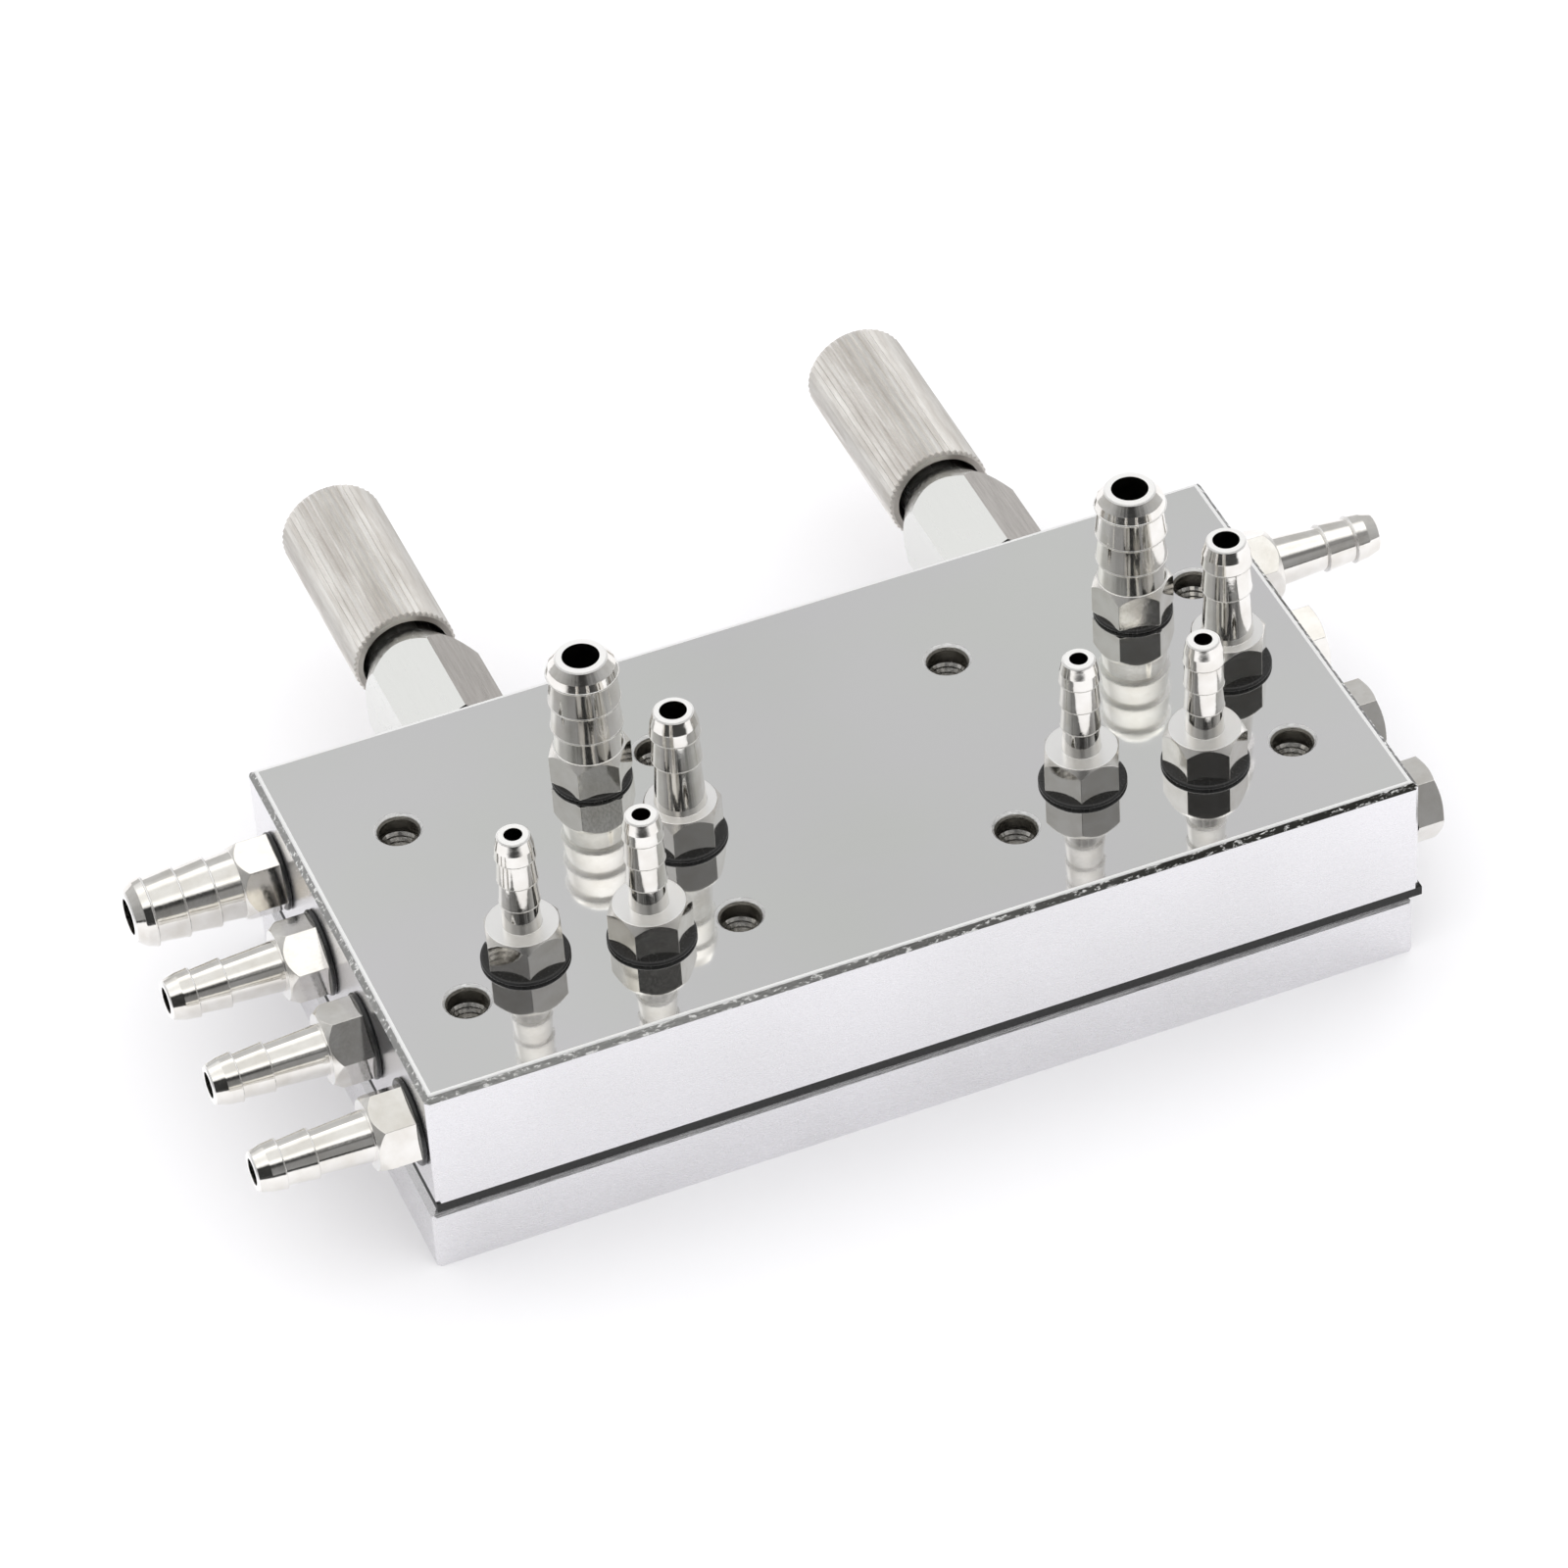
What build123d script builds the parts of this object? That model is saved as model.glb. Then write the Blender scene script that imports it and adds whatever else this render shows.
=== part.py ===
from build123d import *
import math
import os

# Twin diaphragm valve block: two valve gangs side by side in one metal block.
# Origin: on the base face, under the middle of the upper block.
# +X runs along the block, +Y towards the two needle valves, +Z up.

# Block, rubber sheet and lower plate
block_length = 100.0
block_width = 50.0
block_height = 13.3
block_chamfer = 0.6
block_corner = 0.4
sheet_thickness = 1.0
sheet_overhang = 0.3
plate_height = 7.0
plate_shift = 0.6
plate_chamfer = 0.7

# Clamp screws, driven up from below into threads that end short of the top face
screw_radius = 1.95
screw_length = 12.0
screw_head_radius = 3.5
screw_head_height = 4.0
screw_socket_flats = 3.0
screw_socket_depth = 2.0
screw_head_sink = 0.4
tapped_hole_radius = 2.0
core_hole_radius = 1.9
core_hole_depth = 1.5
core_hole_chamfer = 0.48
clearance_hole_radius = 2.2
counterbore_clearance = 0.2

# Rows of screws: a pair in each gang, from the gang's middle, and how far a row misses
# the middle between its two galleries
front_row_x = ((-13.7, 13.4), (-15.0, 13.6))
back_row_x = ((-11.5, 14.7), (-11.4, 14.7))
front_row_shift = -0.55
back_row_shift = -0.65

# Supply galleries, drilled along the block
gallery_drop = 7.0
gallery_front_margin = 5.1
gallery_back_margin = 7.4
gallery_radius = 1.75
air_gallery_radius = 2.2

# Valve gangs: X is measured from the gang's middle, an offset along Y from the port's gallery
gang_end_margin = 21.8
pilot_x = -6.7
pilot_offset = -3.5
water_x = 4.9
water_offset = 6.5
chip_air_x = 12.7
chip_air_offset = -6.7
drive_air_x = 7.8
drive_air_offset = -7.85
bleed_x = -1.0

# Diaphragm cells
land_width = 0.8
groove_depth = 1.2
water_groove_width = 1.1
chip_air_groove_width = 1.3
drive_air_groove_width = 1.4
dish_margin = 0.3
dish_depth = 1.0
channel_width = 1.6
channel_depth = 1.0
feed_radius = 0.8
bleed_radius = 0.4
pilot_hole_radius = 1.0

# Hose tails: a barb widens from the root to the barb radius, the neck from the root to its own.
# The first barb bulges: halfway down it has this share of its widening.
small_bore_radius = 0.88
small_rim_radius = 1.59
small_barb_radius = 1.95
small_root_radius = 1.74
small_neck_radius = 1.88
small_tail_length = 10.9
small_first_barb = 2.6
small_barb_pitch = 2.75
small_barb_count = 3
medium_bore_radius = 1.3
medium_rim_radius = 1.95
medium_barb_radius = 2.45
medium_root_radius = 2.15
medium_neck_radius = 2.5
medium_tail_length = 11.2
medium_first_barb = 2.7
medium_barb_pitch = 3.1
medium_barb_count = 2
large_bore_radius = 1.8
large_rim_radius = 2.55
large_barb_radius = 3.5
large_root_radius = 3.15
large_neck_radius = 3.35
large_tail_length = 10.8
large_first_barb = 2.0
large_barb_pitch = 3.15
large_barb_count = 3
first_barb_bulge = 0.7
rim_break = 0.15

# Hexagons, threaded spigots and seals of the hose tails
fitting_flats = 7.0
fitting_hex_height = 3.9
fitting_crown_radius = 3.43
fitting_crown_drop = 0.9
link_hex_turn = 0.0
plug_flats = 7.0
plug_hex_height = 2.9
plug_crown_drop = 0.3
spigot_radius = 2.5
large_spigot_radius = 3.0
spigot_length = 4.0
spigot_clearance = 0.05
port_extra_depth = 0.3
seal_gap = 0.5
seal_outer_radius = 4.25
large_seal_outer_radius = 3.9
plug_seal_outer_radius = 3.9
seal_round = 0.24

# Needle valves, each a little beside its gang's middle
needle_offsets = (-0.2, 0.7)
gland_flats = 11.0
gland_hex_length = 15.5
gland_crown_radius = 4.05
gland_crown_drop = 4.6
gland_thread_radius = 4.0
gland_thread_length = 5.0
gland_neck_radius = 3.9
gland_neck_length = 10.0
gland_seal_outer_radius = 5.4
gland_hex_turns = (37.7, 35.7)
seal_bore_radius = 2.5
seal_bore_depth = 7.5
stem_thread_radius = 1.95
stem_radius = 1.5
stem_clearance = 0.05
stem_seal_section = 0.65
stem_groove_width = 1.5
needle_tip_radius = 0.2
needle_cone_length = 6.0
needle_orifice_radius = 0.8
needle_passage_radius = 1.8
needle_seat_clearance = 0.08
needle_pitch = 0.7
turns_to_closed = 1.5
turns_to_open = 3.0

# Knobs
knob_radius = 5.35
knob_length = 23.2
knob_gap = 0.6
knob_wall = 0.85
knob_cavity_depth = 14.0
knob_end_chamfer = 1.1
knob_mouth_chamfer = 0.3
knob_tooth_count = 48
knob_tooth_depth = 0.28
knob_slot_width = 1.1
knob_slot_depth = 1.0
knob_slot_turn = 156.0
knob_stem_hold = 6.5
knob_stem_fit = 0.02

# Heights and ends that follow from the sizes above
sheet_base = plate_height
block_base = sheet_base + sheet_thickness
block_top = block_base + block_height
gallery_z = block_top - gallery_drop
left_end = -block_length / 2
right_end = block_length / 2
front_face = -block_width / 2
back_face = block_width / 2
gang_middles = (left_end + gang_end_margin, right_end - gang_end_margin)
gallery_pitch = (block_width - gallery_front_margin - gallery_back_margin) / 3
gallery_y = [front_face + gallery_front_margin + gallery_pitch * step for step in range(4)]
water_gallery_y, pilot_gallery_y, chip_air_gallery_y, air_gallery_y = gallery_y
water_y = water_gallery_y + water_offset
pilot_y = pilot_gallery_y + pilot_offset
chip_air_y = chip_air_gallery_y + chip_air_offset
drive_air_y = air_gallery_y + drive_air_offset
front_row_y = (water_gallery_y + pilot_gallery_y) / 2 + front_row_shift
back_row_y = (chip_air_gallery_y + air_gallery_y) / 2 + back_row_shift
screw_places = [(gang_x + x, row_y)
                for row_y, row_x in ((front_row_y, front_row_x), (back_row_y, back_row_x))
                for gang_x, pair in zip(gang_middles, row_x) for x in pair]
needle_x = [gang_x + offset for gang_x, offset in zip(gang_middles, needle_offsets)]
port_depth = spigot_length + port_extra_depth
gland_port_depth = gland_thread_length + port_extra_depth
sides = ("left", "right")

SMALL = dict(bore=small_bore_radius, rim=small_rim_radius, barb=small_barb_radius,
             root=small_root_radius, neck=small_neck_radius, first=small_first_barb,
             pitch=small_barb_pitch, count=small_barb_count, length=small_tail_length,
             spigot=spigot_radius, seal=seal_outer_radius)
MEDIUM = dict(bore=medium_bore_radius, rim=medium_rim_radius, barb=medium_barb_radius,
              root=medium_root_radius, neck=medium_neck_radius, first=medium_first_barb,
              pitch=medium_barb_pitch, count=medium_barb_count, length=medium_tail_length,
              spigot=spigot_radius, seal=seal_outer_radius)
LARGE = dict(bore=large_bore_radius, rim=large_rim_radius, barb=large_barb_radius,
             root=large_root_radius, neck=large_neck_radius, first=large_first_barb,
             pitch=large_barb_pitch, count=large_barb_count, length=large_tail_length,
             spigot=large_spigot_radius, seal=large_seal_outer_radius)

# Top fittings: name, place in the gang, hose tail, corner angle of the hexagon left and right
top_fittings = [
    ("pilot_barb", pilot_x, pilot_y, SMALL, (16.0, 5.0)),
    ("water_barb", water_x, water_y, SMALL, (49.0, 40.5)),
    ("chip_air_barb", chip_air_x, chip_air_y, MEDIUM, (57.5, 60.0)),
    ("drive_air_barb", drive_air_x, drive_air_y, LARGE, (53.0, 47.0)),
]

# Fittings in the left end: name, gallery, hose tail, corner angle of the hexagon
left_fittings = [
    ("drive_air_inlet_barb", air_gallery_y, LARGE, 20.0),
    ("chip_air_inlet_barb", chip_air_gallery_y, MEDIUM, 50.0),
    ("pilot_air_inlet_barb", pilot_gallery_y, MEDIUM, 42.0),
    ("water_inlet_barb", water_gallery_y, MEDIUM, 10.0),
]

# Plugs in the right end: name, gallery, corner angle of the hexagon
right_plugs = [
    ("chip_air_plug", chip_air_gallery_y, 45.0),
    ("pilot_air_plug", pilot_gallery_y, 25.0),
    ("water_plug", water_gallery_y, 27.0),
]

# Diaphragm cells: place in the gang, bore, groove width, and where its feed rises to a gallery
cells = [
    (water_x, water_y, small_bore_radius, water_groove_width, water_gallery_y),
    (chip_air_x, chip_air_y, medium_bore_radius, chip_air_groove_width, chip_air_gallery_y),
    (drive_air_x, drive_air_y, large_bore_radius, drive_air_groove_width, None),
]


def turned(points):
    """Solid turned about Z from (radius, height) points."""
    outline = Polyline(*[(radius, 0, height) for radius, height in points], close=True)
    return revolve(make_face(outline), Axis.Z)


def drill(x, y, low, high, radius):
    """Upright cylinder between two heights."""
    return Pos(x, y, (low + high) / 2) * Cylinder(radius, high - low)


def drill_along_x(low, high, y, z, radius):
    """Cylinder along X between two ends."""
    return Pos((low + high) / 2, y, z) * Rot(0, 90, 0) * Cylinder(radius, high - low)


def drill_along_y(x, low, high, z, radius):
    """Cylinder along Y between two ends."""
    return Pos(x, (low + high) / 2, z) * Rot(90, 0, 0) * Cylinder(radius, high - low)


def milled_slot(start, end, low, high, width):
    """Straight milled channel with round ends between two points."""
    run_x = end[0] - start[0]
    run_y = end[1] - start[1]
    middle = Pos((start[0] + end[0]) / 2, (start[1] + end[1]) / 2, low)
    turn = Rot(0, 0, math.degrees(math.atan2(run_y, run_x)))
    outline = SlotCenterToCenter(math.hypot(run_x, run_y), width)
    return extrude(middle * turn * outline, high - low)


def onto_left_end(y):
    """Turns a fitting built along +Z to stand on the left end at a gallery."""
    return Pos(left_end, y, gallery_z) * Rot(0, -90, 0)


def onto_right_end(y):
    """Turns a fitting built along +Z to stand on the right end at a gallery."""
    return Pos(right_end, y, gallery_z) * Rot(0, 90, 0)


def onto_back(x):
    """Turns a valve built along +Z to stand on the back face."""
    return Pos(x, back_face, gallery_z) * Rot(-90, 0, 0)


def cell_radii(bore, groove_width):
    """Inner and outer radius of the annular groove round a cell's nozzle."""
    inner = bore + land_width
    return inner, inner + groove_width


def cell_cuts(gang_x, cell):
    """Nozzle bore, annular groove and feed of one diaphragm cell, in the block's underside."""
    x, y, bore, groove_width, feed_y = cell
    x += gang_x
    inner, outer = cell_radii(bore, groove_width)
    groove_top = block_base + groove_depth
    ring = drill(x, y, block_base, groove_top, outer) - drill(x, y, block_base, groove_top, inner)
    port_floor = block_top - port_depth
    cuts = [ring, drill(x, y, block_base, port_floor, bore)]
    if feed_y is not None:
        edge_y = y + math.copysign((inner + outer) / 2, feed_y - y)
        cuts.append(milled_slot((x, edge_y), (x, feed_y), block_base, groove_top, channel_width))
        cuts.append(drill(x, feed_y, block_base, gallery_z, feed_radius))
    return cuts


def needle_cuts(gang_x, valve_x):
    """Threaded port, passage, metering orifice and drop of one needle valve."""
    port_floor = back_face - gland_port_depth
    thread = drill_along_y(valve_x, port_floor, back_face, gallery_z,
                           gland_thread_radius + spigot_clearance)
    passage = drill_along_y(valve_x, air_gallery_y, port_floor, gallery_z, needle_passage_radius)
    orifice = drill_along_y(valve_x, drive_air_y, air_gallery_y, gallery_z, needle_orifice_radius)
    drop = drill(valve_x, drive_air_y, block_base, gallery_z, feed_radius)
    inner, outer = cell_radii(large_bore_radius, drive_air_groove_width)
    groove_x = gang_x + drive_air_x - (inner + outer) / 2
    channel = milled_slot((valve_x, drive_air_y), (groove_x, drive_air_y),
                          block_base, block_base + groove_depth, channel_width)
    return [thread, passage, orifice, drop, channel]


def gallery_cuts():
    """The four galleries with a threaded port at each end."""
    cuts = []
    for y in gallery_y:
        radius = air_gallery_radius if y == air_gallery_y else gallery_radius
        cuts.append(drill_along_x(left_end, right_end, y, gallery_z, radius))
        left_port = large_spigot_radius if y == air_gallery_y else spigot_radius
        cuts.append(drill_along_x(left_end, left_end + port_depth, y, gallery_z,
                                  left_port + spigot_clearance))
        cuts.append(drill_along_x(right_end - port_depth, right_end, y, gallery_z,
                                  spigot_radius + spigot_clearance))
    return cuts


def top_port_cuts(gang_x):
    """Threaded ports of one gang's top fittings, and the pilot and bleed drillings."""
    cuts = []
    for name, x, y, tail, turns in top_fittings:
        cuts.append(drill(gang_x + x, y, block_top - port_depth, block_top,
                          tail["spigot"] + spigot_clearance))
    cuts.append(drill(gang_x + pilot_x, pilot_y, block_base, block_top - port_depth,
                      pilot_hole_radius))
    cuts.append(drill(gang_x + bleed_x, pilot_gallery_y, block_base, gallery_z, bleed_radius))
    return cuts


def plate_blank(middle_x, base, height, top_break):
    """Rectangular plate with its top edges chamfered and its upright corners broken."""
    body = Pos(middle_x, 0, base + height / 2) * Box(block_length, block_width, height)
    body = chamfer(body.faces().sort_by(Axis.Z)[-1].edges(), top_break)
    outline = Rectangle(block_length, block_width)
    outline = chamfer(outline.vertices(), block_corner)
    return body & extrude(Pos(middle_x, 0, base) * outline, height)


def make_upper_block():
    """Chrome-plated upper block with all its ports, galleries and diaphragm cells."""
    body = plate_blank(0, block_base, block_height, block_chamfer)
    cuts = gallery_cuts()
    screw_hole = turned([(0, block_base), (tapped_hole_radius, block_base),
                         (tapped_hole_radius, block_top - core_hole_depth),
                         (core_hole_radius, block_top - core_hole_depth),
                         (core_hole_radius, block_top - core_hole_chamfer),
                         (core_hole_radius + core_hole_chamfer, block_top), (0, block_top)])
    for x, y in screw_places:
        cuts.append(Pos(x, y, 0) * screw_hole)
    for gang_x, valve_x in zip(gang_middles, needle_x):
        cuts += top_port_cuts(gang_x)
        cuts += needle_cuts(gang_x, valve_x)
        for cell in cells:
            cuts += cell_cuts(gang_x, cell)
    return body - cuts


def make_sheet():
    """Black rubber sheet that is the diaphragm of every cell and the gasket between them."""
    length = block_length + sheet_overhang
    body = Pos(sheet_overhang / 2, 0, sheet_base + sheet_thickness / 2) \
        * Box(length, block_width, sheet_thickness)
    cuts = [drill(x, y, sheet_base, block_base, clearance_hole_radius) for x, y in screw_places]
    for gang_x in gang_middles:
        cuts.append(drill(gang_x + pilot_x, pilot_y, sheet_base, block_base, pilot_hole_radius))
        cuts.append(drill(gang_x + bleed_x, pilot_gallery_y, sheet_base, block_base,
                          pilot_hole_radius))
    return body - cuts


def dish_cut(x, y, radius):
    """Shallow bowl that the diaphragm sinks into when a cell opens."""
    ball_radius = (radius ** 2 + dish_depth ** 2) / (2 * dish_depth)
    ball = Pos(x, y, plate_height - dish_depth + ball_radius) * Sphere(ball_radius)
    return ball & drill(x, y, plate_height - dish_depth, plate_height, radius + dish_margin)


def pilot_cuts(gang_x):
    """Bowls of one gang and the milled channels that carry pilot air to them."""
    cuts = []
    places = []
    for x, y, bore, groove_width, feed_y in cells:
        inner, outer = cell_radii(bore, groove_width)
        cuts.append(dish_cut(gang_x + x, y, outer + dish_margin))
        places.append((gang_x + x, y))
    water, chip_air, drive_air = places
    pilot = (gang_x + pilot_x, pilot_y)
    bleed = (gang_x + bleed_x, pilot_gallery_y)
    for start, end in ((pilot, bleed), (bleed, chip_air), (chip_air, drive_air), (water, bleed)):
        cuts.append(milled_slot(start, end, plate_height - channel_depth, plate_height,
                                channel_width))
    return cuts


def make_lower_plate():
    """Lower plate with the pilot bowls on top and counterbores for the clamp screws below."""
    body = plate_blank(-plate_shift, 0, plate_height, plate_chamfer)
    head_seat = screw_head_sink + screw_head_height
    cuts = []
    for x, y in screw_places:
        cuts.append(drill(x, y, 0, plate_height, clearance_hole_radius))
        cuts.append(drill(x, y, 0, head_seat, screw_head_radius + counterbore_clearance))
    for gang_x in gang_middles:
        cuts += pilot_cuts(gang_x)
    return body - cuts


def clamp_screw():
    """Socket head screw standing on its head, at its own height in the plate."""
    seat = screw_head_sink + screw_head_height
    tip = seat + screw_length
    head_round = 0.35
    tip_chamfer = 0.6
    body = turned([(0, screw_head_sink), (screw_head_radius - head_round, screw_head_sink),
                   (screw_head_radius, screw_head_sink + head_round), (screw_head_radius, seat),
                   (screw_radius, seat), (screw_radius, tip - tip_chamfer),
                   (screw_radius - tip_chamfer, tip), (0, tip)])
    socket = RegularPolygon(screw_socket_flats / 2, 6, major_radius=False)
    return body - extrude(Pos(0, 0, screw_head_sink) * socket, screw_socket_depth)


def make_clamp_screws():
    """The eight clamp screws, one group."""
    one = clamp_screw()
    return Compound(children=[Pos(x, y, 0) * one for x, y in screw_places])


def hexagon(flats, base, height, turn, crown, drop):
    """Hexagonal bar whose far corners are turned away by a cone down to the crown radius."""
    corner = flats / math.sqrt(3)
    top = base + height
    bar = extrude(Pos(0, 0, base) * Rot(0, 0, turn)
                  * RegularPolygon(flats / 2, 6, major_radius=False), height)
    return bar & turned([(0, base), (corner, base), (corner, top - drop), (crown, top), (0, top)])


def tail_outline(tail, base):
    """(radius, height) points of a hose tail above its hexagon, from the base to the rim."""
    tip = base + tail["length"]
    rim, barb, root = tail["rim"], tail["barb"], tail["root"]
    teeth = []
    depth = tail["first"] + tail["pitch"] * (tail["count"] - 1)
    for step in range(tail["count"]):
        teeth.append((root, tip - depth))
        teeth.append((barb, tip - depth))
        depth -= tail["pitch"]
    shoulder = (rim + first_barb_bulge * (barb - rim), tip - tail["first"] / 2)
    return [(tail["neck"], base)] + teeth + [shoulder, (rim, tip - rim_break),
                                             (rim - rim_break, tip)]


def hose_tail(tail, turn):
    """Barbed fitting along +Z from its seat at height 0, with its spigot below."""
    hex_top = seal_gap + fitting_hex_height
    points = [(0, -spigot_length), (tail["spigot"], -spigot_length), (tail["spigot"], seal_gap)]
    points += [(tail["root"], seal_gap), (tail["root"], hex_top)] + tail_outline(tail, hex_top)
    points += [(0, hex_top + tail["length"])]
    body = turned(points) + hexagon(fitting_flats, seal_gap, fitting_hex_height, turn,
                                    fitting_crown_radius, fitting_crown_drop)
    bore = Cylinder(tail["bore"], 2 * (hex_top + tail["length"] + spigot_length))
    return body - bore


def gallery_plug(turn):
    """Hexagon-headed plug along +Z from its seat at height 0."""
    spigot = turned([(0, -spigot_length), (spigot_radius, -spigot_length),
                     (spigot_radius, seal_gap), (0, seal_gap)])
    return spigot + hexagon(plug_flats, seal_gap, plug_hex_height, turn, fitting_crown_radius,
                            plug_crown_drop)


def seal_ring(inner_radius, outer_radius):
    """Rubber ring squeezed flat between a seat at height 0 and a hexagon."""
    width = outer_radius - inner_radius
    section = Pos((inner_radius + outer_radius) / 2, seal_gap / 2) \
        * RectangleRounded(width, seal_gap, seal_round)
    return revolve(Plane.XZ * section, Axis.Z)


def fitting_seal(tail):
    """Rubber ring under a hose tail."""
    return seal_ring(tail["spigot"] + spigot_clearance, tail["seal"])


# Heights along a needle valve, measured outwards from the back face
gland_hex_end = seal_gap + gland_hex_length
gland_neck_end = gland_hex_end + gland_neck_length
knob_mouth = gland_hex_end + knob_gap
knob_end = knob_mouth + knob_length
cavity_floor = knob_mouth + knob_cavity_depth
travel_in = needle_pitch * turns_to_closed
travel_out = needle_pitch * turns_to_open
seal_bore_end = seal_gap + seal_bore_depth
stem_seal_height = seal_bore_end - stem_groove_width / 2 - travel_out - stem_clearance
stem_seal_outer = seal_bore_radius - stem_clearance
stem_groove_radius = stem_seal_outer - 2 * stem_seal_section - stem_clearance
cone_slope = (stem_radius - needle_tip_radius) / needle_cone_length
orifice_height = air_gallery_y - air_gallery_radius - back_face
seated_radius = needle_orifice_radius - needle_seat_clearance
needle_tip = orifice_height - (seated_radius - needle_tip_radius) / cone_slope + travel_in


def make_gland(turn):
    """Hexagonal gland that screws into the back face and carries the needle's thread."""
    outside = turned([(0, -gland_thread_length), (gland_thread_radius, -gland_thread_length),
                      (gland_thread_radius, gland_hex_end), (gland_neck_radius, gland_hex_end),
                      (gland_neck_radius, gland_neck_end), (0, gland_neck_end)])
    body = outside + hexagon(gland_flats, seal_gap, gland_hex_length, turn, gland_crown_radius,
                             gland_crown_drop)
    seal_bore = drill(0, 0, -gland_thread_length, seal_bore_end, seal_bore_radius)
    thread_bore = drill(0, 0, seal_bore_end, gland_neck_end, stem_thread_radius + stem_clearance)
    return body - [seal_bore, thread_bore]


def make_stem():
    """Needle stem: tapered point, seal groove, thread and the end that the knob grips."""
    groove_low = stem_seal_height - stem_groove_width / 2
    groove_high = stem_seal_height + stem_groove_width / 2
    thread_start = seal_bore_end + stem_clearance
    stem_end = cavity_floor + knob_stem_hold
    return turned([(0, needle_tip), (needle_tip_radius, needle_tip),
                   (stem_radius, needle_tip + needle_cone_length), (stem_radius, groove_low),
                   (stem_groove_radius, groove_low), (stem_groove_radius, groove_high),
                   (stem_radius, groove_high), (stem_radius, thread_start + travel_out),
                   (stem_thread_radius, thread_start + travel_out),
                   (stem_thread_radius, stem_end), (0, stem_end)])


def make_stem_seal():
    """Rubber ring in the stem's groove, sealing it to the gland's bore."""
    return Pos(0, 0, stem_seal_height) * Torus(stem_seal_outer - stem_seal_section,
                                               stem_seal_section)


def knurled_bar(radius, tooth_depth, tooth_count, low, high):
    """Bar with straight teeth all round."""
    points = []
    for tooth in range(tooth_count):
        for share, reach in ((0.0, radius), (0.5, radius - tooth_depth)):
            angle = 2 * math.pi * (tooth + share) / tooth_count
            points.append((reach * math.cos(angle), reach * math.sin(angle), low))
    return extrude(make_face(Polyline(*points, close=True)), high - low, dir=(0, 0, 1))


def make_knob():
    """Straight-knurled cup with a screwdriver slot across its closed end."""
    bar = knurled_bar(knob_radius, knob_tooth_depth, knob_tooth_count, knob_mouth, knob_end)
    blank = turned([(0, knob_mouth), (knob_radius - knob_mouth_chamfer, knob_mouth),
                    (knob_radius, knob_mouth + knob_mouth_chamfer),
                    (knob_radius, knob_end - knob_end_chamfer),
                    (knob_radius - knob_end_chamfer, knob_end), (0, knob_end)])
    cavity = drill(0, 0, knob_mouth, cavity_floor, knob_radius - knob_wall)
    stem_hole = drill(0, 0, cavity_floor, cavity_floor + knob_stem_hold,
                      stem_thread_radius + knob_stem_fit)
    slot = Pos(0, 0, knob_end - knob_slot_depth / 2) * Rot(0, 0, knob_slot_turn) \
        * Box(2 * knob_radius, knob_slot_width, knob_slot_depth)
    return (bar & blank) - [cavity, stem_hole, slot]


def build_parts():
    """Every node's name and solid."""
    parts = {
        "lower_plate": make_lower_plate(),
        "diaphragm_sheet": make_sheet(),
        "upper_block": make_upper_block(),
        "clamp_screws": make_clamp_screws(),
    }
    for name, x, y, tail, turns in top_fittings:
        for side, gang_x, turn in zip(sides, gang_middles, turns):
            place = Pos(gang_x + x, y, block_top)
            parts[f"{name}_{side}"] = place * hose_tail(tail, turn)
            parts[f"{name}_seal_{side}"] = place * fitting_seal(tail)
    for name, y, tail, turn in left_fittings:
        parts[name] = onto_left_end(y) * hose_tail(tail, turn)
        parts[f"{name}_seal"] = onto_left_end(y) * fitting_seal(tail)
    link_place = onto_right_end(air_gallery_y)
    parts["drive_air_link_barb"] = link_place * hose_tail(MEDIUM, link_hex_turn)
    parts["drive_air_link_barb_seal"] = link_place * fitting_seal(MEDIUM)
    for name, y, turn in right_plugs:
        parts[name] = onto_right_end(y) * gallery_plug(turn)
        parts[f"{name}_seal"] = onto_right_end(y) * seal_ring(
            spigot_radius + spigot_clearance, plug_seal_outer_radius)
    for side, x, turn in zip(sides, needle_x, gland_hex_turns):
        place = onto_back(x)
        parts[f"needle_gland_{side}"] = place * make_gland(turn)
        parts[f"needle_gland_seal_{side}"] = place * seal_ring(
            gland_thread_radius + spigot_clearance, gland_seal_outer_radius)
        parts[f"needle_stem_{side}"] = place * make_stem()
        parts[f"stem_seal_{side}"] = place * make_stem_seal()
        parts[f"flow_knob_{side}"] = place * make_knob()
    return parts


os.makedirs("parts", exist_ok=True)
for node, solid in build_parts().items():
    export_step(solid, f"parts/{node}.step")
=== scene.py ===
import math
import bmesh
import bpy
from mathutils import Matrix, Vector


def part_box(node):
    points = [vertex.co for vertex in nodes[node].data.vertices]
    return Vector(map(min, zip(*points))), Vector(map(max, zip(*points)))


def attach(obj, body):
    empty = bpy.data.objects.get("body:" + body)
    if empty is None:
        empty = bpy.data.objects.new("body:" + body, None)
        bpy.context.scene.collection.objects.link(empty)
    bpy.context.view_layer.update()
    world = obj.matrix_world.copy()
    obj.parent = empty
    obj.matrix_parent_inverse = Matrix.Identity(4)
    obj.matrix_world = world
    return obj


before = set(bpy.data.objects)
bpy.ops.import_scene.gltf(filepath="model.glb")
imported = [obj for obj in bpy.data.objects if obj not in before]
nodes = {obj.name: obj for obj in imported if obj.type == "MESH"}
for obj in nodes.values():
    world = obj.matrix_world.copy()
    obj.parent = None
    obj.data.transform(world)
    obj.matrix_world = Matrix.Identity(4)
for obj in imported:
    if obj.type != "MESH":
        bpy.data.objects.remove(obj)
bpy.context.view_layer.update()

# Lower plate
# A flat slab of plated metal under the whole block, ground on its edges and chamfered on top.
# It is clamped up against the rubber sheet by the eight screws.
MM = 0.001
GROUND_METAL = (0.820, 0.812, 0.835)
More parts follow.
